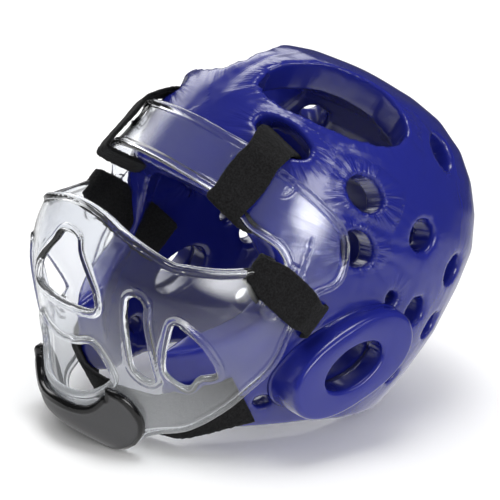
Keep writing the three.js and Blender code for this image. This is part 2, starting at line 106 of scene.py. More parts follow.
# Holes on the wearer's left: x, y, z as shares of SHELL_HALF, SHELL_FRONT and CROWN, length and width in
# mm, turn in degrees, the height in mm of the folds that the skin makes round the hole, and the depth of the
# finer creases there as a share of the deepest.
SHELL_HOLES = [
    (0.497, -0.472, 0.831, 92, 54, 9, 0.35, 0.5),
    (0.575, -0.774, 0.617, 38, 17, -10, 0.3, 0.4),
    (0.895, -0.311, 0.558, 29, 18, -12, 1.8, 1),
    (0.983, -0.236, 0.364, 27, 20, -12, 1.5, 0.9),
    (0.707, 0.236, 0.831, 25, 18, -50, 0.3, 0.1),
    (0.939, 0.189, 0.513, 21, 20, 0, 0.25, 0.1),
    (0.862, 0.594, 0.448, 20, 16, 70, 0.25, 0.1),
    (0.994, 0.151, 0.247, 9, 9, 0, 0.3, 0.2),
    (0.972, 0.396, 0.24, 19, 17, 60, 0.25, 0.1),
    (0.884, 0.66, 0.214, 18, 13, 70, 0.25, 0.1),
    (0.95, 0.547, -0.026, 13, 9, 40, 0.2, 0.1),
    (0.884, -0.255, -0.305, 13, 8, 20, 0.3, 0.2),
]
# Level sections of the face shield: z as a share of MASK_DROP, half width of SHIELD_HALF, reach of
# SHIELD_REACH, and the squareness of the section. The first rows turn in under the chin.
SHIELD_ROWS = [
    (-1.019, 0.2, 0.36, 2),
    (-1.018, 0.32, 0.48, 2),
    (-1.015, 0.44, 0.6, 2),
    (-0.99, 0.52, 0.655, 2),
    (-0.912, 0.6, 0.71, 2),
    (-0.647, 0.765, 0.813, 2.15),
    (-0.451, 0.87, 0.893, 2.35),
    (-0.275, 0.97, 0.953, 2.5),
    (-0.049, 1, 1, 2.5),
    (0.108, 0.99, 0.993, 2.5),
    (0.294, 0.985, 0.92, 2.5),
    (0.52, 0.965, 0.8, 2.4),
    (0.833, 0.93, 0.735, 2.4),
    (1.02, 0.9, 0.7, 2.4),
]
# Side views as shares of SHIELD_REACH and MASK_DROP, and front views as shares of SHIELD_HALF and MASK_DROP.
SHIELD_EDGE = [
    (-1, 0.843), (-0.713, 0.824), (-0.567, 0.765), (-0.46, 0.725), (-0.34, 0.667), (-0.267, 0.598),
    (-0.22, 0.471), (-0.212, 0.36), (-0.24, 0.285), (-0.295, 0.21), (-0.33, 0.06), (-0.338, -0.06),
    (-0.33, -0.16), (-0.33, -0.32), (-0.332, -0.565), (-0.375, -0.775), (-0.466, -0.918), (-0.48, -1.176),
    (-1.067, -1.176),
]
EYE_EDGE = [
    (0, 0.147), (0.204, 0.132), (0.408, 0.088), (0.633, 0.052), (0.711, 0.074), (0.767, 0.105), (0.8, 0.13),
    (0.834, 0.17), (0.858, 0.21), (0.885, 0.25), (0.908, 0.294), (0.857, 0.373), (0.755, 0.402),
    (0.653, 0.456), (0.459, 0.505), (0, 0.525),
]
NOSE_VENT = [(0.071, -0.059), (0.133, -0.137), (0.245, -0.245), (0.296, -0.314), (0.276, -0.392), (0, -0.422)]
MOUTH_VENT = [
    (0, -0.627), (0.143, -0.608), (0.265, -0.569), (0.347, -0.647), (0.347, -0.725), (0.204, -0.843),
    (0, -0.882),
]
# Moulded slots under the straps: where the middle line starts and ends, in degrees round from the front and
# as shares of MASK_DROP, and half the slot's width in mm.
STRAP_SLOTS = [(25.5, 0.707, 40.5, 0.697, 6), (55.2, 0.26, 53, 0.065, 6)]
SLOT_VENT = {"x": 0.54, "z": -0.41, "length": 42, "width": 9, "lean": math.radians(4)}
CHEEK_VENT = [
    (-0.747, -0.255), (-0.673, -0.275), (-0.587, -0.324), (-0.487, -0.412), (-0.52, -0.48), (-0.52, -0.559),
    (-0.62, -0.529), (-0.693, -0.402),
]
CUP_EDGE = [
    (-1, -0.7), (-0.76, -0.73), (-0.712, -0.742), (-0.689, -0.741), (-0.651, -0.738), (-0.605, -0.762),
    (-0.55, -0.81), (-0.508, -0.875), (-0.486, -0.945), (-0.485, -1.01), (-0.498, -1.569), (-1, -1.569),
]
CUP_NOTCH = [
    (0, -0.925), (0.15, -0.915), (0.25, -0.875), (0.32, -0.8), (0.345, -0.74), (0.345, -0.392), (0, -0.392),
]

# Routes of the straps' middles: the piece that a stop lies on, y and z as shares of that piece's front reach
# and height, and its depth under the surface as a share of WALL. A free stop has x, y and z.
UPPER_ROUTE = [
    ("shield", -0.698, 0.49, 0),
    ("shield", -0.66, 0.647, 0),
    ("shield", -0.63, 0.794, 0),
    ("shell", -0.83, 0.575, 0),
    ("shell", -0.822, 0.598, 0.12),
    ("shell", -0.815, 0.602, 0.5),
    ("shell", -0.81, 0.602, 1.15),
    ("shell", -0.835, 0.545, 1.21),
    ("shell", -0.865, 0.45, 1.15),
    ("shell", -0.87, 0.338, 1.15),
    ("shell", -0.87, 0.279, 0.5),
    ("shell", -0.87, 0.276, 0.02),
    ("shield", -0.705, 0.417, 0.3),
    ("shield", -0.725, 0.425, 0.02),
]
LOWER_ROUTE = [
    ("shield", -0.573, 0.216, 0),
    ("shield", -0.467, 0.176, 0),
    ("shield", -0.367, 0.132, 0),
    ("shield", -0.313, 0.108, 0),
    ("shield", -0.27, 0.093, 0.02),
    ("shield", -0.233, 0.083, 0.15),
    ("shell", -0.297, 0.052, 0.02),
    ("shell", -0.283, 0.049, 0.5),
    ("shell", -0.292, 0.049, 1.15),
    ("shell", -0.406, 0.065, 1.21),
    ("shell", -0.509, 0.078, 1.15),
    ("shell", -0.585, 0.091, 1),
    ("shell", -0.632, 0.104, 0.5),
    ("shield", -0.547, 0.196, 0.35),
    ("shield", -0.593, 0.216, 0.18),
]
CHIN_ROUTE = [
    ("shell", -0.377, -0.325, 0),
    ("shell", -0.472, -0.403, 0),
    ("shell", -0.528, -0.461, 0),
    (0.486, -0.585, -0.513),
    (0.265, -0.651, -0.542),
    (0.133, -0.675, -0.552),
    (0, -0.679, -0.555),
]
UPPER_ACROSS = (0.83, 0.46, -0.3)
LOWER_ACROSS = (0, 0.25, 0.97)
CHIN_ACROSS = (0, 0.85, -0.52)
# Where a strap is pulled through the mask it gathers: the route's stop and the share of its width lost.
UPPER_GATHERS = [(0, 0.1), (2, 0.12)]
LOWER_GATHERS = [(0, 0.3), (4, 0.2)]
GATHER_REACH = 9

# The camera on the worn head, from the photograph: where it stands and how it is turned.
CAMERA_TURN = math.radians(47.21)
CAMERA_RISE = math.radians(2.78)
CAMERA_ROLL = math.radians(25.69)
CAMERA_AWAY = 1532
CAMERA_FOCAL = 2524  # in pixels of the photograph
CAMERA_CENTRE = (253.8, 299.9)  # pixel that the unturned camera looks at
IMAGE_SIDE = 500

# The ear pads' box tells where the worn head's origin lies in the frame.
pad_low, pad_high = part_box("ear_pad_left")
HEAD_Y = (pad_low[1] + pad_high[1]) / 2 - PAD_PLACE[1] * math.sin(LEAN) * MM
HEAD_Z = (pad_low[2] + pad_high[2]) / 2 - PAD_PLACE[1] * math.cos(LEAN) * MM


# Shapes


def from_head(points):
    """Points in mm on the worn head, as the frame's metres at rest."""
    x, y, z = np.moveaxis(np.asarray(points, dtype=float), -1, 0) * MM
    ahead = y * math.cos(LEAN) + z * math.sin(LEAN) + HEAD_Y
    up = z * math.cos(LEAN) - y * math.sin(LEAN) + HEAD_Z
    return np.stack([x, ahead, up], axis=-1)


def to_head(points):
    """Points of the frame as mm on the worn head."""
    x, y, z = np.moveaxis(np.asarray(points, dtype=float), -1, 0)
    y, z = y - HEAD_Y, z - HEAD_Z
    back = y * math.cos(LEAN) - z * math.sin(LEAN)
    up = z * math.cos(LEAN) + y * math.sin(LEAN)
    return np.stack([x, back, up], axis=-1) / MM


def ease(low, high, value):
    share = np.clip((value - low) / (high - low), 0, 1)
    return share * share * (3 - 2 * share)


def unit(vectors):
    return vectors / np.maximum(np.linalg.norm(vectors, axis=-1, keepdims=True), 1e-9)


def smooth_between(keys, values, at):
    """A smooth line through the values at the keys, read at other places."""
    keys, values = np.asarray(keys, dtype=float), np.asarray(values, dtype=float)
    slopes = np.gradient(values, keys)
    i = np.clip(np.searchsorted(keys, at) - 1, 0, len(keys) - 2)
    step = keys[i + 1] - keys[i]
    t = np.clip((at - keys[i]) / step, 0, 1)
    a = (1 + 2 * t) * (1 - t) ** 2
    b = t * (1 - t) ** 2
    c = t * t * (3 - 2 * t)
    d = t * t * (t - 1)
    return a * values[i] + b * step * slopes[i] + c * values[i + 1] + d * step * slopes[i + 1]


def rounded_outline(points, spans=8):
    """A closed outline through the points, with its corners rounded."""
    p = np.asarray(points, dtype=float)
    before, after, beyond = np.roll(p, 1, 0), np.roll(p, -1, 0), np.roll(p, -2, 0)
    made = []
    for step in range(spans):
        t = step / spans
        twice = 2 * p + (after - before) * t + (2 * before - 5 * p + 4 * after - beyond) * t**2
        made.append(0.5 * (twice + (3 * p - before - 3 * after + beyond) * t**3))
    return np.stack(made, axis=1).reshape(-1, 2)


def depth_inside(points, outline):
    """Distance from each point to the outline, positive inside it."""
    best = np.full(points.shape[:-1], 1e9)
    inside = np.zeros(points.shape[:-1], dtype=bool)
    px, py = points[..., 0], points[..., 1]
    for (ax, ay), (bx, by) in zip(outline, np.roll(outline, -1, 0)):
        dx, dy = bx - ax, by - ay
        length = dx * dx + dy * dy
        if length < 1e-9:
            continue
        t = np.clip(((px - ax) * dx + (py - ay) * dy) / length, 0, 1)
        best = np.minimum(best, np.hypot(px - ax - t * dx, py - ay - t * dy))
        crosses = (ay > py) != (by > py)
        inside ^= crosses & (px < ax + (py - ay) / (dy if dy else 1) * dx)
    return np.where(inside, best, -best)


def both_sides(points):
    """Half an outline and its mirror image as one closed outline."""
    return list(points) + [(-x, z) for x, z in reversed(points) if x > 0]


def scaled(points, wide, high):
    return [(a * wide, z * high) for a, z in points]


def mask_grid(step):
    """Points of the face shield's outer surface in rows from under the chin to the brow, and its outward
    directions."""
    z, half, reach, power = np.array(SHIELD_ROWS, dtype=float).T
    z, half, reach = z * MASK_DROP, half * SHIELD_HALF, reach * SHIELD_REACH
    along = np.concatenate([[0], np.cumsum(np.hypot(np.diff(z), np.diff(reach)))])
    rows = np.linspace(0, along[-1], int(along[-1] / step))
    z, half, reach, power = (smooth_between(along, column, rows) for column in (z, half, reach, power))
    fine = np.linspace(-MASK_SWEEP, MASK_SWEEP, 1600)
    widest = radius_at(fine, SHIELD_HALF, SHIELD_REACH, SHIELD_POWER)
    x, y = widest * np.sin(fine), -widest * np.cos(fine)
    arc = np.concatenate([[0], np.cumsum(np.hypot(np.diff(x), np.diff(y)))])
    turn = np.interp(np.linspace(0, arc[-1], int(arc[-1] / step)), arc, fine)
    far = radius_at(turn[None, :], half[:, None], reach[:, None], power[:, None])
    points = np.stack(
        [far * np.sin(turn), -far * np.cos(turn), np.broadcast_to(z[:, None], far.shape)], axis=-1
    )
    outward = unit(np.cross(np.gradient(points, axis=1), np.gradient(points, axis=0)))
    return points, outward


def side_outline(edge):
    """An edge of the side view as a rounded outline in mm."""
    return rounded_outline(scaled(edge, SHIELD_REACH, MASK_DROP))


def front_outline(edge):
    """Half an edge of the front view as a whole rounded outline in mm."""
    return rounded_outline(both_sides(scaled(edge, SHIELD_HALF, MASK_DROP)))


def mask_views(points):
    """The mask's points in the side view and in the front view, and which of them are ahead."""
    front = np.stack([np.abs(points[..., 0]), points[..., 2]], axis=-1)
    return points[..., 1:], front, points[..., 1] < -AHEAD * SHIELD_REACH


def radius_at(turn, half, reach, power):
    """Distance of a level section from its middle, at an angle from straight ahead."""
    return (np.abs(np.sin(turn) / half) ** power + np.abs(np.cos(turn) / reach) ** power) ** (-1 / power)


def edge_distance(points, field):
    """The field as a distance along the surface, and the direction along the surface in which it grows."""
    across, along = np.gradient(points, axis=1), np.gradient(points, axis=0)
    fa, fb = np.gradient(field, axis=1), np.gradient(field, axis=0)
    aa, bb, ab = (across**2).sum(-1), (along**2).sum(-1), (across * along).sum(-1)
    whole = np.maximum(aa * bb - ab**2, 1e-9)
    ca, cb = (fa * bb - fb * ab) / whole, (fb * aa - fa * ab) / whole
    rise = across * ca[..., None] + along * cb[..., None]
    size = np.maximum(np.linalg.norm(rise, axis=-1), 0.2)
    return field / size, rise / size[..., None]


def trimmed(field):
    """The faces of a grid where field is positive, cut along its edge. Each corner lies at a share of the
    way from one grid point to another."""
    rows, columns = field.shape
    flat = field.ravel()
    first = (np.arange(rows - 1)[:, None] * columns + np.arange(columns - 1)[None, :]).ravel()
    cells = np.stack([first, first + 1, first + 1 + columns, first + columns], axis=1)
    kept = flat[cells] > 0
    corners, number, faces = [], {}, []

    def corner(a, b):
        key = (a, b) if a < b else (b, a)
        if key not in number:
            low, high = key
            share = 0 if low == high else flat[low] / (flat[low] - flat[high])
            number[key] = len(corners)
            corners.append((low, high, share))
        return number[key]

    for cell, inside in zip(cells[kept.any(axis=1)].tolist(), kept[kept.any(axis=1)].tolist()):
        face = []
        for k in range(4):
            a, b = cell[k], cell[(k + 1) % 4]
            if inside[k]:
                face.append(corner(a, a))
            if inside[k] != inside[(k + 1) % 4]:
                face.append(corner(a, b))
        faces.append(face)
    low, high, share = (np.array(column) for column in zip(*corners))
    return faces, low.astype(int), high.astype(int), share


def sheet_mesh(name, points, outward, field, outer, inner, bulge, material):
    """A moulded sheet as a closed mesh: outer and inner are its faces' heights in mm over the surface, and
    bulge is how far its edges are rounded outwards. Returns the object and each vertex's edge distance."""
    distance, rise = edge_distance(points, field)
    faces, low, high, share = trimmed(distance)
    share = share[:, None]

    def at(values):
        flat = values.reshape(-1, values.shape[-1])
        return flat[low] * (1 - share) + flat[high] * share

    place, out, inward = at(points), unit(at(outward)), unit(at(rise))
    far = at(distance[..., None])[:, 0]
    up, down = at(outer(distance)[..., None]), at(inner(distance)[..., None])
    count = len(place)
    edges = {(face[k], face[(k + 1) % len(face)]) for face in faces for k in range(len(face))}
    border = [(a, b) for a, b in edges if (b, a) not in edges]
    rim = sorted({a for pair in border for a in pair})
    rim_number = {a: 2 * count + i for i, a in enumerate(rim)}
    middle = (up[rim] + down[rim]) / 2
    vertices = np.concatenate(
        [place + out * up, place + out * down, place[rim] + out[rim] * middle - inward[rim] * bulge]
    )
    made = list(faces) + [[a + count for a in reversed(face)] for face in faces]
    for a, b in border:
        ra, rb = rim_number[a], rim_number[b]
        made += [[b, a, ra, rb], [rb, ra, a + count, b + count]]
    piece = new_piece(name, from_head(vertices), made, material)
    return piece, np.concatenate([far, far, np.zeros(len(rim))])


def show(name, data):
    """An object with the data, in the scene."""
    made = bpy.data.objects.new(name, data)
    bpy.context.scene.collection.objects.link(made)
    return made


def new_piece(name, vertices, faces, material):
    """A smooth-shaded object from vertices in the frame's metres. Nothing goes under the floor."""
    vertices = np.array(vertices, dtype=float)
    vertices[:, 2] = np.maximum(vertices[:, 2], 0)
    mesh = bpy.data.meshes.new(name)
    mesh.from_pydata(vertices.tolist(), [], faces)
    mesh.validate()
    mesh.shade_smooth()
    mesh.materials.append(material)
    return show(name, mesh)


def ring_faces(rows, columns, closed=True):
    """Four-sided faces between neighbouring rings of points. The last ring joins the first if closed."""
    faces = []
    for i in range(rows if closed else rows - 1):
        n = (i + 1) % rows
        for j in range(columns):
            k = (j + 1) % columns
            faces.append([i * columns + j, i * columns + k, n * columns + k, n * columns + j])
    return faces


def stand_for(piece, node):
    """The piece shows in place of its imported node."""
    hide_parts(node)
    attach(piece, "root")


def store(piece, name, values):
    """Keeps one number or one vector for each vertex, for the material to read."""
    values = np.asarray(values, dtype=float)
    kind = "FLOAT" if values.ndim == 1 else "FLOAT_VECTOR"
    layer = piece.data.attributes.new(name, kind, "POINT")
    layer.data.foreach_set("value" if values.ndim == 1 else "vector", values.ravel())


def even_mesh(node, name, voxel, passes):
    """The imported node's form in small even faces, with its edges rounded by the smoothing passes: its
    vertices, outward directions and faces."""
    rough = show(name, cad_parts[node].data.copy())
    remesh = rough.modifiers.new("even", "REMESH")
    remesh.mode = "VOXEL"
    remesh.voxel_size = voxel * MM
    soften = rough.modifiers.new("soften", "SMOOTH")
    soften.factor = 0.5
    soften.iterations = passes
    fine = rough.evaluated_get(bpy.context.evaluated_depsgraph_get()).to_mesh()
    vertices = np.empty(len(fine.vertices) * 3)
    fine.vertices.foreach_get("co", vertices)
    outward = np.empty(len(fine.vertices) * 3)
    fine.vertex_normals.foreach_get("vector", outward)
    faces = [list(face.vertices) for face in fine.polygons]
    rough.to_mesh_clear()
    bpy.data.objects.remove(rough)
    return vertices.reshape(-1, 3), outward.reshape(-1, 3), faces


def section_at(rows, z):
    """Half width and front reach at a height, from rows in mm."""
    levels, half, reach = zip(*rows)
    return np.interp(z, levels, half), np.interp(z, levels, reach)


SHELL_SECTIONS = [(a * CROWN, b * SHELL_HALF, c * SHELL_FRONT) for a, b, c in SHELL_ROWS]
SHIELD_SECTIONS = [(a * MASK_DROP, b * SHIELD_HALF, c * SHIELD_REACH) for a, b, c, _ in SHIELD_ROWS[2:]]


def shell_side(y, z):
    """Distance of the shell's outer surface from the middle of the head, at a place in the side view."""
    half, reach = section_at(SHELL_SECTIONS, z)
    reach = np.where(y < 0, reach, reach * SHELL_BACK / SHELL_FRONT * BACK_SHARE)
    return half * (1 - np.minimum(np.abs(y) / reach, 0.999) ** SHELL_POWER) ** (1 / SHELL_POWER)


def outward_at(x, y, z):
    """Outward direction of the shell's surface near a point."""

    def slope(value, size):
        return math.copysign((abs(value) / size) ** (SHELL_POWER - 1), value) / size

    depth = SHELL_FRONT if y < 0 else SHELL_BACK
    return unit(np.array([slope(x, SHELL_HALF), slope(y, depth), slope(max(z, 0), CROWN)]))


def hole_frames():
    """Middle, the two directions in its plane, the outward direction, half sizes, fold height and crease
    depth of each hole on both sides of the shell."""
    made = []
    for x, y, z, length, width, turn, fold, crease in SHELL_HOLES:
        middle = np.array([x * SHELL_HALF, y * SHELL_FRONT, z * CROWN])
        ahead = outward_at(*middle)
        level = unit(np.cross([0, 0, 1], ahead))
        upward = np.cross(ahead, level)
        c, s = math.cos(math.radians(turn)), math.sin(math.radians(turn))
        for side in (1, -1):
            flip = np.array([side, 1, 1])
            axes = (level * c + upward * s) * flip, (upward * c - level * s) * flip, ahead * flip
            made.append((middle * flip, *axes, (length / 2, width / 2), (fold, crease)))
    return made


def fold_field(places, outward):
    """Heights of the folds that the skin makes round the holes, and for the material the nearest hole's
    direction and the depth of the finer creases there."""
    height = np.zeros(len(places))
    nearest = np.full(len(places), 1e3)
    second = nearest.copy()
    around = np.zeros((len(places), 3))
    share = np.zeros(len(places))
    seed = np.random.default_rng(7)
    for middle, level, upward, ahead, (a, b), (fold, crease) in hole_frames():
        off = places - middle
        u, v, w = off @ level / a, off @ upward / b, off @ ahead
        radial = np.hypot(u, v)
        mean = (a + b) / 2
        far = (radial - 1) * mean
        angle = np.arctan2(v, u)
        facing = ease(0.2, 0.7, np.abs(outward @ ahead)) * ease(-1.8 * WALL, -1.2 * WALL, w)
        count = max(5, round(2 * math.pi * mean / FOLD_SPACING))
        phases = seed.uniform(0, 2 * math.pi, 4)
        wave = count * angle / 2 + 1.6 * np.sin(2 * angle + phases[0]) + 0.7 * np.sin(5 * angle + phases[1])
        ridges = np.abs(np.sin(wave + 0.05 * far + phases[2])) ** 0.7 - 0.7
        reach = FOLD_REACH + 5 * np.sin(3 * angle + phases[3])
        fade = ease(-1, 4, far) * np.exp(-np.maximum(far, 0) / reach) * facing
        height += fold * fade * ridges
        closer = (far < nearest) & (w > -1.5 * WALL)
        second = np.where(closer, nearest, np.minimum(second, far))
        nearest = np.where(closer, far, nearest)
        around[closer] = np.stack([np.cos(angle), np.sin(angle), far / 20], axis=-1)[closer]
        share[closer] = crease
    fade = ease(-2, 3, nearest) * np.exp(-np.maximum(nearest, 0) / CREASE_REACH)
    depth = share * fade * ease(0, 9, second - nearest)
    return height, around, depth


def place_of(stop):
    """A stop of a strap's route as a point in mm."""
    if not isinstance(stop[0], str):
        return np.array([stop[0] * SHELL_HALF, stop[1] * SHELL_FRONT, stop[2] * CROWN])
    carrier, y, z, deep = stop
    mask = carrier == "shield"
    z = z * (MASK_DROP if mask else CROWN)
    half, reach = section_at(SHIELD_SECTIONS if mask else SHELL_SECTIONS, z)
    thick = bpy.context.scene.headgear_straps.thickness / MM
    out = -deep * WALL if deep > 0 else thick / 2 + STRAP_CLEAR
    forward = -y * (SHIELD_REACH if mask else SHELL_FRONT) / reach
    aside = (1 - forward**SHELL_POWER) ** (1 / SHELL_POWER)
    return np.array([(half + out) * aside, -(reach + out) * forward, z])


def even_route(places, closed, step, passes):
    """The route in even steps, its corners rounded by smoothing."""
    points = np.asarray(places, dtype=float)
    if closed:
        points = np.concatenate([points, points[:1]])
    lengths = np.concatenate([[0], np.cumsum(np.linalg.norm(np.diff(points, axis=0), axis=1))])
    count = int(lengths[-1] / step)
    at = np.linspace(0, lengths[-1], count, endpoint=not closed)
    even = np.stack([np.interp(at, lengths, points[:, k]) for k in range(3)], axis=-1)
    for _ in range(passes):
        before, after = np.roll(even, 1, 0), np.roll(even, -1, 0)
        moved = even * 0.5 + (before + after) * 0.25
        if not closed:
            moved[0], moved[-1] = even[0], even[-1]
        even = moved
    return even


def strap_mesh(places, across, width, closed, gathers=(), step=1.0, passes=5):
    """A flat strap with rounded edges and a pile on both faces: vertices in mm and faces. Each gather is a
    stop's number and the share by which the strap is narrower there."""
    settings = bpy.context.scene.headgear_straps
    thick, pile = settings.thickness / MM, settings.pile / MM
    route = even_route(places, closed, step, passes)
    side = unit(np.array(across, dtype=float))
    before, after = np.roll(route, 1, 0), np.roll(route, -1, 0)
    if not closed:
        before[0], after[-1] = route[0], route[-1]
    out = unit(np.cross(after - before, side))
    flat = np.linspace(-1, 1, int(width / step))
    ring = [(a * (width - thick) / 2, thick / 2) for a in flat]
    ring += [(width / 2 - thick * 0.15, thick / 4), (width / 2, 0), (width / 2 - thick * 0.15, -thick / 4)]
    ring += [(a * (width - thick) / 2, -thick / 2) for a in -flat]
    ring += [(-width / 2 + thick * 0.15, -thick / 4), (-width / 2, 0), (-width / 2 + thick * 0.15, thick / 4)]
    ring = np.array(ring)
    seed = np.random.default_rng(11)
    fuzz = seed.uniform(-0.5, 0.5, (len(route), len(ring))) * pile
    rise = ring[:, 1][None, :] + np.sign(ring[:, 1])[None, :] * fuzz
    edge = np.abs(ring[:, 1]) < thick / 3
    wide = ring[:, 0][None, :] + np.sign(ring[:, 0])[None, :] * np.where(edge, fuzz, 0)
    narrow = np.ones(len(route))
    for stop, share in gathers:
        narrow -= share * np.exp(-(np.linalg.norm(route - places[stop], axis=-1) ** 2) / GATHER_REACH**2)
    wide *= narrow[:, None]
    vertices = route[:, None, :] + side * wide[..., None] + out[:, None, :] * rise[..., None]
    count, around = len(ring), len(route)
    faces = ring_faces(around, count, closed)
    if not closed:
        faces.append(list(range(count))[::-1])
        faces.append([(around - 1) * count + j for j in range(count)])
    return vertices.reshape(-1, 3), faces


# Finishes


def linear(colour):
    """An sRGB hex colour as linear red, green, blue."""
    parts = [int(colour[i : i + 2], 16) / 255 for i in (1, 3, 5)]
    return tuple(c / 12.92 if c <= 0.04045 else ((c + 0.055) / 1.055) ** 2.4 for c in parts)


def add(tree, kind, inputs=(), **settings):
    """Adds a node. Inputs are (socket, value) pairs, and a value that is a node's output is linked."""
    made = tree.nodes.new(kind)
    for key, value in settings.items():
        setattr(made, key, value)
    for socket, value in inputs:
        if isinstance(value, bpy.types.NodeSocket):
            tree.links.new(value, made.inputs[socket])
        else:
            made.inputs[socket].default_value = value
    return made


def new_material(name):
    """A material with no surface yet, its nodes, and the place on the object in metres."""
    material = bpy.data.materials.new(name)
    material.use_nodes = True
    tree = material.node_tree
    tree.nodes.clear()
    return material, tree, add(tree, "ShaderNodeTexCoord").outputs["Object"]


def add_surface(tree, shader, kind="ShaderNodeOutputMaterial"):
    add(tree, kind, [("Surface", shader.outputs[0])])


def add_noise(tree, place, size, detail, **more):
    """A noise whose features are size mm across, on an object laid out in metres."""
    inputs = [("Vector", place), ("Scale", 1 / (size * MM)), ("Detail", detail)]
    return add(tree, "ShaderNodeTexNoise", inputs + list(more.items())).outputs["Fac"]


def add_bump(tree, height, strength, distance, under=None):
    """A bump of a distance in mm, over the bump under it."""
    inputs = [("Height", height), ("Strength", strength), ("Distance", distance * MM)]
    return add(tree, "ShaderNodeBump", inputs + ([("Normal", under)] if under else [])).outputs[0]


def add_range(tree, value, inputs, **settings):
    """The value turned from one range to another."""
    return add(tree, "ShaderNodeMapRange", [("Value", value), *inputs], **settings).outputs[0]


def add_blend(tree, share, low, high):
    """A colour from low to high. Each is a node's output or three numbers."""
    low, high = (c if isinstance(c, bpy.types.NodeSocket) else (*c, 1) for c in (low, high))
    return add(tree, "ShaderNodeMix", [("Factor", share), (6, low), (7, high)], data_type="RGBA").outputs[2]


def add_principled(tree, colour, roughness, normal, more):
    """The main shader, with more inputs than its colour, roughness and bumps."""
    colour = colour if isinstance(colour, bpy.types.NodeSocket) else (*colour, 1)
    inputs = [("Base Color", colour), ("Roughness", roughness), ("Normal", normal), *more]
    return add(tree, "ShaderNodeBsdfPrincipled", inputs)


def add_mixed(tree, share, first, second):
    """A surface from the first shader to the second."""
    return add(tree, "ShaderNodeMixShader", [("Fac", share), (1, first.outputs[0]), (2, second.outputs[0])])


def times(colour, share):
    return [min(1, c * share) for c in colour]


def dipped_vinyl():
    """Liquid vinyl dipped over foam: one thick glossy skin, wrinkled where the foam bends and with a slow
    waviness that breaks up its reflections."""
    colour = bpy.context.scene.headgear_shell.vinyl
    material, tree, place = new_material("dipped_vinyl_skin")
    around = add(tree, "ShaderNodeAttribute", attribute_name="fold_around").outputs["Vector"]
    depth = add(tree, "ShaderNodeAttribute", attribute_name="fold_depth").outputs["Fac"]
    spread = add(tree, "ShaderNodeVectorMath", [(0, around), (1, CREASE_SPREAD)], operation="MULTIPLY")
    folds = add(tree, "ShaderNodeTexNoise", [("Vector", spread.outputs[0]), ("Scale", 1.0), ("Detail", 2.0)])
    fine = add(tree, "ShaderNodeMath", [(0, folds.outputs["Fac"]), (1, depth)], operation="MULTIPLY")
    creases = add_bump(tree, fine.outputs[0], 1.0, 4.2)
    waves = add_bump(tree, add_noise(tree, place, 14, 1.0), 0.4, 1.2, creases)
    grain = add_noise(tree, place, 1.2, 2.0)
    skin = add_bump(tree, grain, 0.04, 0.2, waves)
    shade = add_blend(tree, add_noise(tree, place, 60, 3.0), times(colour, 0.86), times(colour, 1.14))
    gloss = add_range(tree, grain, [("To Min", 0.17), ("To Max", 0.25)])
    coat = [("IOR", 1.52), ("Coat Weight", 0.35), ("Coat Roughness", 0.12)]
    add_surface(tree, add_principled(tree, shade, gloss, skin, coat))
    return material


def clear_polycarbonate():
    """Injection-moulded clear polycarbonate: sharp reflections on both faces, a trace of flow waviness, light
    that passes straight through to what is behind it, and low on the cheeks a painted reflection of the
    bright floor: a whitish diffuse layer."""
    colour = bpy.context.scene.headgear_shield.plastic
    material, tree, place = new_material("clear_moulded_polycarbonate")
    flow = add_bump(tree, add_noise(tree, place, 30, 1.0), 0.25, 0.6)
    gloss = add_range(tree, add_noise(tree, place, 4, 4.0), [("To Min", 0.02), ("To Max", 0.07)])
    shader = add_principled(tree, colour, gloss, flow, [("IOR", 1.58), ("Transmission Weight", 1.0)])
    # Painted reflection: a whitish diffuse layer is mixed in on the mask's lowest part, in place of the
    # bright floor's reflection there.
    low = add(tree, "ShaderNodeAttribute", attribute_name="low_painted_reflection").outputs["Fac"]
    painted_reflection = add(tree, "ShaderNodeBsdfDiffuse", [("Color", (0.75, 0.77, 0.79, 1))])
    with_painted_reflection = add_mixed(tree, low, shader, painted_reflection)
    passing = add(tree, "ShaderNodeBsdfTransparent", [("Color", (0.93, 0.94, 0.95, 1))])
    ray = add(tree, "ShaderNodeLightPath")
    add_surface(tree, add_mixed(tree, ray.outputs["Is Shadow Ray"], with_painted_reflection, passing))
    return material


def moulded_cup_plastic():
    """Charcoal polypropylene, moulded with a fine grain on its face and left glossy along its rim."""
    colour = bpy.context.scene.headgear_cup.plastic
    material, tree, place = new_material("moulded_cup_plastic")
    rim = add(tree, "ShaderNodeAttribute", attribute_name="edge_distance").outputs["Fac"]
    band = add_range(tree, rim, [("From Min", 1.5), ("From Max", 3.0)])
    grain = add_noise(tree, place, 0.8, 3.0)
    face = add_blend(tree, grain, times(colour, 0.8), times(colour, 1.2))
    shade = add_blend(tree, band, linear("#0c0c0d"), face)
    gloss = add_range(tree, band, [("To Min", 0.12), ("To Max", 0.5)])
    add_surface(tree, add_principled(tree, shade, gloss, add_bump(tree, grain, 0.15, 0.2), [("IOR", 1.49)]))
    return material


def loop_pile():
    """Brushed nylon loops on an elastic band: a dull fuzzy black that lightens in small specks where the
    loops catch the light. The loops are drawn coarser than the real quarter millimetre, so that they show."""
    colour = bpy.context.scene.headgear_straps.pile_colour
    material, tree, place = new_material("nylon_loop_pile")
    loops = add_noise(tree, place, 1.2, 3.0, Roughness=0.7)
    bright = add_range(tree, loops, [("From Min", 0.35), ("From Max", 0.75)])
    shade = add_blend(tree, bright, times(colour, 0.3), times(colour, 4.2))
    fuzz = [("Specular IOR Level", 0.2), ("Sheen Weight", 0.05), ("Sheen Roughness", 0.5)]
    add_surface(tree, add_principled(tree, shade, 0.92, add_bump(tree, loops, 0.8, 0.6), fuzz))
    return material


def shines_only(tree):
    """1 for a ray that has just been reflected, and 0 for every other ray."""
    ray = add(tree, "ShaderNodeLightPath")
    rays = [(0, ray.outputs["Is Glossy Ray"]), (1, ray.outputs["Is Transmission Ray"])]
    return add(tree, "ShaderNodeMath", rays, operation="SUBTRACT", use_clamp=True).outputs[0]


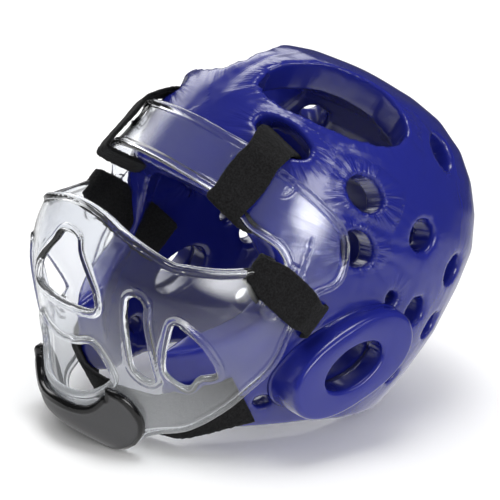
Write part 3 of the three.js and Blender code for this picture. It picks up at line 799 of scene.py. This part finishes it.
def studio_paper():
    """A seamless roll of pale paper: even and dull. In what shines on the headgear it is swapped for a
    painted glow with no shadows in it, bright near the middle and dim further away."""
    colour = bpy.context.scene.headgear_stage.paper
    material, tree, place = new_material("studio_paper")
    fibres = add_bump(tree, add_noise(tree, place, 3, 3.0), 0.03, 0.1)
    shader = add_principled(tree, colour, 0.85, fibres, [])
    away = add(tree, "ShaderNodeVectorMath", [(0, place)], operation="LENGTH").outputs["Value"]
    # Painted reflection: for reflected rays the paper is a glow rather than lit paper, strongest near the
    # middle and fading outwards.
    glow_level = add_range(tree, away, [("From Min", 0.25), ("From Max", 0.75), ("To Min", 0.85), ("To Max", 0.06)])
    painted_glow = add(tree, "ShaderNodeEmission", [("Strength", glow_level)])
    add_surface(tree, add_mixed(tree, shines_only(tree), shader, painted_glow))
    return material


# Settings


def colour_setting(name, description, default):
    return bpy.props.FloatVectorProperty(
        name=name, description=description, subtype="COLOR", min=0, max=1, default=linear(default)
    )


def number_setting(name, description, default, unit="NONE", least=0, most=1000):
    return bpy.props.FloatProperty(
        name=name, description=description, default=default, min=least, max=most, unit=unit
    )


class ShellSettings(bpy.types.PropertyGroup):
    vinyl: colour_setting("Vinyl", "Colour of the dipped skin", "#1a2078")
    voxel: number_setting("Detail", "Size of the shell's faces", 0.0018, "LENGTH", least=0.001)
    fold_height: number_setting("Folds", "Share of the full height of the folds round the holes", 1.0)
    pad_round: number_setting("Pad rounding", "Radius of the ear pads' outer edge", 0.0036, "LENGTH")


class ShieldSettings(bpy.types.PropertyGroup):
    plastic: colour_setting("Plastic", "Tint of the clear plastic", "#f6f8fb")
    wall: number_setting("Wall", "Thickness of the sheet", 0.003, "LENGTH")
    # This setting is the strength of a painted reflection: a whitish diffuse layer on the mask's lowest edge
    # that stands in for the bright floor's reflection.
    painted_reflection: number_setting("Haze", "Share of light that scuffs scatter at the lowest edge", 0.2, most=1)
    bead_width: number_setting("Bead width", "Width of the raised edge", 0.0042, "LENGTH")
    bead_height: number_setting("Bead height", "Height of the raised edge over the sheet", 0.0014, "LENGTH")


class CupSettings(bpy.types.PropertyGroup):
    plastic: colour_setting("Plastic", "Colour of the cup's face", "#414143")
    lip: number_setting("Lip", "Height of the rim over the cup's face", 0.0008, "LENGTH")


class StrapSettings(bpy.types.PropertyGroup):
    thickness: number_setting("Thickness", "Thickness of a strap", 0.0024, "LENGTH")
    pile: number_setting("Pile", "Unevenness of the loops on a strap's faces", 0.0005, "LENGTH")
    pile_colour: colour_setting("Pile colour", "Colour of the loops", "#0c0c0d")


class StageSettings(bpy.types.PropertyGroup):
    paper: colour_setting("Paper", "Colour of the floor", "#fbfbfb")
    top_power: number_setting("Top light", "Power of the top light", 16, "POWER")
    left_power: number_setting("Left softbox", "Power of the long light at the left", 8, "POWER")
    right_power: number_setting("Right softbox", "Power of the small light at the right", 10.5, "POWER")
    high_power: number_setting("High softbox", "Power of the small light over the right side", 0.6, "POWER")
    sky: number_setting("Room light", "Brightness of the white room", 0.6)


# Pieces


class HEADGEAR_OT_foam_shell(bpy.types.Operator):
    """Build the dipped foam shell with its holes and the folds of its skin"""

    bl_idname = "headgear.foam_shell"
    bl_label = "Foam Shell"

    def execute(self, context):
        settings = context.scene.headgear_shell
        vertices, outward, faces = even_mesh("foam_shell", "foam_shell_form", settings.voxel / MM, 14)
        places = to_head(vertices)
        turned = to_head(vertices + outward * MM) - places
        height, around, depth = fold_field(places, turned)
        slow = np.array([noise.noise(Vector(p) / 28) for p in places]) * 0.35
        lift = height * settings.fold_height + slow
        vertices = vertices + outward * (lift * MM)[:, None]
        piece = new_piece("foam_shell_skin", vertices, faces, finish("vinyl", dipped_vinyl))
        store(piece, "fold_around", around)
        store(piece, "fold_depth", depth)
        stand_for(piece, "foam_shell")
        return {"FINISHED"}


class HEADGEAR_OT_ear_pads(bpy.types.Operator):
    """Build both round ear pads, dipped together with the shell"""

    bl_idname = "headgear.ear_pads"
    bl_label = "Ear Pads"

    def execute(self, context):
        for name, side in (("ear_pad_left", 1), ("ear_pad_right", -1)):
            vertices, faces = self.ring(context.scene.headgear_shell.pad_round / MM)
            vertices[:, 0] *= side
            if side < 0:
                faces = [face[::-1] for face in faces]
            piece = new_piece(name + "_skin", from_head(vertices), faces, finish("vinyl", dipped_vinyl))
            stand_for(piece, name)
        return {"FINISHED"}

    def ring(self, rounding, squareness=2.25, inner_rounding=2.6, flare=1.6, steps=128):
        """One pad as rings of points from its flared foot over its face and down into the ear hole. Lengths
        are in mm, and the foot sinks a little into the shell's skin."""
        sink, heel, bulge = 0.6, 2.2, 0.5
        angle = np.linspace(0, 2 * math.pi, steps, endpoint=False)
        rims = []
        for (y, z), length, width, power in (
            (PAD_PLACE, PAD_LENGTH, PAD_WIDTH, squareness),
            (EAR_PLACE, EAR_HOLE_LENGTH, EAR_HOLE_WIDTH, 2.0),
        ):
            c, s = np.cos(angle), np.sin(angle)
            along = length / 2 * np.sign(c) * np.abs(c) ** (2 / power)
            wide = width / 2 * np.sign(s) * np.abs(s) ** (2 / power)
            turn = math.pi / 2 - PAD_LEAN
            level = y + along * math.cos(turn) - wide * math.sin(turn)
            high = z + along * math.sin(turn) + wide * math.cos(turn)
            rims.append(np.stack([level, high], axis=-1))
        outer, hole = rims
        gap = np.linalg.norm(hole - outer, axis=-1, keepdims=True)
        inward = (hole - outer) / gap
        base = shell_side(outer[:, 0], outer[:, 1])
        foot = shell_side(hole[:, 0], hole[:, 1])
        profile = []

        def ring_at(off, height):
            profile.append(np.concatenate([height[:, None], outer + inward * off], axis=1))

        flat = np.full(steps, float(PAD_FACE))
        ring_at(-flare, base - sink)
        ring_at(-flare * 0.4, base + sink)
        ring_at(0, base + heel)
        for share in (0.3, 0.6, 0.9):
            ring_at(-bulge * math.sin(share * math.pi), base + heel + (flat - rounding - base - heel) * share)
        for turn in np.linspace(0, math.pi / 2, 7):
            ring_at(rounding * (1 - math.cos(turn)), flat - rounding * (1 - math.sin(turn)))
        for share in (0.25, 0.5, 0.75):
            crown = bulge * math.sin(share * math.pi)
            ring_at(rounding + (gap - rounding - inner_rounding) * share, flat + crown)
        for turn in np.linspace(0, math.pi / 2, 6):
            ring_at(gap - inner_rounding * (1 - math.sin(turn)), flat - inner_rounding * (1 - math.cos(turn)))
        for share in (0.35, 0.7, 1.0):
            ring_at(gap, flat - inner_rounding + (foot - 1 - flat + inner_rounding) * share)
        return np.concatenate(profile), ring_faces(len(profile), steps)


class HEADGEAR_OT_face_shield(bpy.types.Operator):
    """Build the clear face shield with beads round its edge, its eye opening and its vents"""

    bl_idname = "headgear.face_shield"
    bl_label = "Face Shield"

    def execute(self, context):
        settings = context.scene.headgear_shield
        wall, width, height = settings.wall / MM, settings.bead_width / MM, settings.bead_height / MM
        points, outward = mask_grid(step=1.15)
        field = self.field(points)
        relief = self.slot_rims(points)

        def outer(distance):
            return height * ease(-1.2, 1.2, distance) * (1 - ease(width - 1.4, width, distance)) + relief

        def inner(distance):
            return np.full(distance.shape, -wall)

        material = finish("polycarbonate", clear_polycarbonate)
        piece, _ = sheet_mesh("face_shield_clear", points, outward, field, outer, inner, 0.9, material)
        level = to_head([vertex.co for vertex in piece.data.vertices])[:, 2] / MASK_DROP
        # Painted reflection: the whitish diffuse share grows towards the mask's bottom edge.
        store(piece, "low_painted_reflection", settings.painted_reflection * (1 - ease(-0.95, -0.25, level)))
        stand_for(piece, "face_shield")
        return {"FINISHED"}

    def field(self, points):
        side, front, ahead = mask_views(points)
        made = depth_inside(side, side_outline(SHIELD_EDGE))
        for edge in (EYE_EDGE, NOSE_VENT, MOUTH_VENT):
            made = np.where(ahead, np.minimum(made, -depth_inside(front, front_outline(edge))), made)
        made = np.minimum(made, -depth_inside(side, side_outline(CHEEK_VENT)))
        return np.minimum(made, -self.slot(front))

    def slot_rims(self, points, rim=0.9, step_in=2.6):
        """Height of the two rounded rims that are moulded round each strap slot."""
        level = np.arctan2(np.abs(points[..., 0]), -points[..., 1])
        round_mask = SHIELD_REACH * 0.75
        relief = np.zeros(level.shape)
        for start, low, end, high, half in STRAP_SLOTS:
            first = np.array([math.radians(start) * round_mask, low * MASK_DROP])
            along = np.array([math.radians(end) * round_mask, high * MASK_DROP]) - first
            off = np.stack([level * round_mask, points[..., 2]], axis=-1) - first
            share = np.clip((off @ along) / (along @ along), 0, 1)
            distance = np.linalg.norm(off - share[..., None] * along, axis=-1) - half
            relief += 1.1 * np.exp(-((distance / rim) ** 2))
            relief += 0.5 * np.exp(-(((distance + step_in) / rim) ** 2))
            relief -= 0.5 * ease(0, -2, distance)
        return relief

    def slot(self, front):
        c, s = math.cos(SLOT_VENT["lean"]), math.sin(SLOT_VENT["lean"])
        x = front[..., 0] - SLOT_VENT["x"] * SHIELD_HALF
        z = front[..., 1] - SLOT_VENT["z"] * MASK_DROP
        across, along = x * c - z * s, x * s + z * c
        straight = (SLOT_VENT["length"] - SLOT_VENT["width"]) / 2
        return SLOT_VENT["width"] / 2 - np.hypot(across, np.maximum(np.abs(along) - straight, 0))


class HEADGEAR_OT_chin_cup(bpy.types.Operator):
    """Build the thick chin cup over the mask's chin"""

    bl_idname = "headgear.chin_cup"
    bl_label = "Chin Cup"

    def execute(self, context):
        lip = context.scene.headgear_cup.lip / MM
        points, outward = mask_grid(step=0.9)
        side, front, ahead = mask_views(points)
        field = depth_inside(side, side_outline(CUP_EDGE))
        field = np.where(ahead, np.minimum(field, -depth_inside(front, front_outline(CUP_NOTCH))), field)

        def outer(distance):
            return CUP_WALL - 1.2 + 1.2 * ease(0, 3, distance) + lip * (1 - ease(2.2, 3.4, distance))

        def inner(distance):
            return GAP + 0.6 * (1 - ease(0, 2, distance))

        material = finish("cup", moulded_cup_plastic)
        piece, far = sheet_mesh("chin_cup_moulded", points, outward, field, outer, inner, 1.4, material)
        store(piece, "edge_distance", far)
        stand_for(piece, "chin_cup")
        return {"FINISHED"}


class HEADGEAR_OT_straps(bpy.types.Operator):
    """Build the two pairs of loop-pile straps that hold the shield, and the chin strap"""

    bl_idname = "headgear.straps"
    bl_label = "Straps"

    def execute(self, context):
        for route, across, width, gathers, name in (
            (UPPER_ROUTE, UPPER_ACROSS, UPPER_STRAP_WIDTH, UPPER_GATHERS, "upper_strap"),
            (LOWER_ROUTE, LOWER_ACROSS, LOWER_STRAP_WIDTH, LOWER_GATHERS, "lower_strap"),
        ):
            vertices, faces = strap_mesh([place_of(stop) for stop in route], across, width, True, gathers)
            for side, end in ((1, "left"), (-1, "right")):
                turned = faces if side > 0 else [face[::-1] for face in faces]
                placed = from_head(vertices * np.array([side, 1, 1]))
                self.add_strap(f"{name}_{end}", placed, turned)
        left = [place_of(stop) for stop in CHIN_ROUTE]
        right = [place * np.array([-1, 1, 1]) for place in left[-2::-1]]
        vertices, faces = strap_mesh(left + right, CHIN_ACROSS, CHIN_STRAP_WIDTH, False, step=1.3)
        self.add_strap("chin_strap", from_head(vertices), faces)
        return {"FINISHED"}

    def add_strap(self, node, vertices, faces):
        piece = new_piece(node + "_pile", vertices, faces, finish("pile", loop_pile))
        stand_for(piece, node)


class HEADGEAR_OT_stage(bpy.types.Operator):
    """Build the pale floor, the soft studio lights and the camera"""

    bl_idname = "headgear.stage"
    bl_label = "Stage"

    def execute(self, context):
        settings = context.scene.headgear_stage
        context.scene.view_settings.view_transform = "Standard"
        self.floor()
        world = bpy.data.worlds.new("white_room")
        world.use_nodes = True
        room = world.node_tree
        room.nodes.clear()
        level = add_range(room, shines_only(room), [("To Min", settings.sky), ("To Max", 0.08)])
        glow = add(room, "ShaderNodeBackground", [("Color", (1, 1, 1, 1)), ("Strength", level)])
        add_surface(room, glow, "ShaderNodeOutputWorld")
        context.scene.world = world
        self.light("top_light", (0, -0.1, 1.6), (1.3, 1.3), settings.top_power)
        self.light("left_softbox", (-1.25, 0.3, 0.78), (2.4, 0.9), settings.left_power)
        self.light("right_softbox", (1.4, 0, 0.47), (1.5, 0.75), settings.right_power)
        self.light("high_softbox", (1.0, 0.47, 0.86), (0.3, 0.3), settings.high_power)
        self.camera()
        return {"FINISHED"}

    def floor(self):
        reach, bend, rise, steps = 3.0, 0.6, 1.5, 12
        profile = [(-reach, 0), (bend, 0)]
        for i in range(1, steps + 1):
            turn = i / steps * math.pi / 2
            profile.append((bend + 1.2 + bend * math.sin(turn), bend * (1 - math.cos(turn))))
        profile.append((profile[-1][0], profile[-1][1] + rise))
        corner = [(x, y, z - 0.0002) for y, z in profile for x in (-reach, reach)]
        faces = [[2 * i, 2 * i + 1, 2 * i + 3, 2 * i + 2] for i in range(len(profile) - 1)]
        mesh = bpy.data.meshes.new("paper_floor")
        mesh.from_pydata(corner, [], faces)
        mesh.shade_smooth()
        mesh.materials.append(studio_paper())
        show("paper_floor", mesh)

    def light(self, name, place, size, power):
        """A softbox aimed at the headgear, brightest in its middle."""
        data = bpy.data.lights.new(name, "AREA")
        data.shape = "RECTANGLE"
        data.size, data.size_y = size
        data.energy = power
        data.use_nodes = True
        tree = data.node_tree
        tree.nodes.clear()
        across = add(tree, "ShaderNodeNewGeometry").outputs["Parametric"]
        off = add(tree, "ShaderNodeVectorMath", [(0, across), (1, (0.5, 0.5, 0))], operation="DISTANCE")
        falloff = [("From Min", 0.1), ("From Max", 0.5), ("To Min", 2.6), ("To Max", 0)]
        soft = add_range(tree, off.outputs["Value"], falloff, interpolation_type="SMOOTHSTEP")
        add_surface(tree, add(tree, "ShaderNodeEmission", [("Strength", soft)]), "ShaderNodeOutputLight")
        lamp = show(name, data)
        lamp.location = place
        lamp.rotation_euler = (Vector((0, 0, 0.1)) - Vector(place)).to_track_quat("-Z", "Y").to_euler()

    def camera(self):
        turn, rise, roll = CAMERA_TURN, CAMERA_RISE, CAMERA_ROLL
        back = np.array([math.sin(turn) * math.cos(rise), -math.cos(turn) * math.cos(rise), math.sin(rise)])
        level = np.array([math.cos(turn), math.sin(turn), 0])
        upright = np.cross(back, level)
        right = math.cos(roll) * level + math.sin(roll) * upright
        up = math.cos(roll) * upright - math.sin(roll) * level
        aside = (IMAGE_SIDE / 2 - CAMERA_CENTRE[0]) / CAMERA_FOCAL
        higher = (CAMERA_CENTRE[1] - IMAGE_SIDE / 2) / CAMERA_FOCAL
        away = unit(back - right * aside - up * higher)
        right = unit(right - away * (right @ away))
        origin = from_head(np.zeros(3))
        turned = [from_head(v) / MM - origin / MM for v in (right, np.cross(away, right), away)]
        place = from_head(back * CAMERA_AWAY)
        data = bpy.data.cameras.new("camera")
        data.sensor_width = 36
        data.lens = CAMERA_FOCAL / IMAGE_SIDE * data.sensor_width
        data.clip_start = 0.05
        data.clip_end = 50
        camera = show("camera", data)
        camera.matrix_world = Matrix.Translation(place) @ Matrix(turned).transposed().to_4x4()
        bpy.context.scene.camera = camera


def finish(name, make):
    """One material of each kind, made when it is first asked for."""
    if name not in made_finishes:
        made_finishes[name] = make()
    return made_finishes[name]


made_finishes = {}


class HEADGEAR_PT_panel(bpy.types.Panel):
    """Lists the headgear's pieces in the sidebar"""

    bl_idname = "HEADGEAR_PT_panel"
    bl_label = "Karate Headgear"
    bl_space_type = "VIEW_3D"
    bl_region_type = "UI"
    bl_category = "Headgear"

    def draw(self, context):
        for operator in OPERATORS:
            self.layout.operator(operator.bl_idname)


OPERATORS = (
    HEADGEAR_OT_foam_shell,
    HEADGEAR_OT_ear_pads,
    HEADGEAR_OT_face_shield,
    HEADGEAR_OT_chin_cup,
    HEADGEAR_OT_straps,
    HEADGEAR_OT_stage,
)
SETTINGS = {
    "headgear_shell": ShellSettings,
    "headgear_shield": ShieldSettings,
    "headgear_cup": CupSettings,
    "headgear_straps": StrapSettings,
    "headgear_stage": StageSettings,
}


def register():
    for name, group in SETTINGS.items():
        bpy.utils.register_class(group)
        setattr(bpy.types.Scene, name, bpy.props.PointerProperty(type=group))
    for cls in (*OPERATORS, HEADGEAR_PT_panel):
        bpy.utils.register_class(cls)


def unregister():
    for cls in (HEADGEAR_PT_panel, *reversed(OPERATORS)):
        bpy.utils.unregister_class(cls)
    for name, group in SETTINGS.items():
        delattr(bpy.types.Scene, name)
        bpy.utils.unregister_class(group)


def main():
    register()
    bpy.ops.headgear.foam_shell()
    bpy.ops.headgear.ear_pads()
    bpy.ops.headgear.face_shield()
    bpy.ops.headgear.chin_cup()
    bpy.ops.headgear.straps()
    bpy.ops.headgear.stage()


if __name__ == "__main__":
    main()
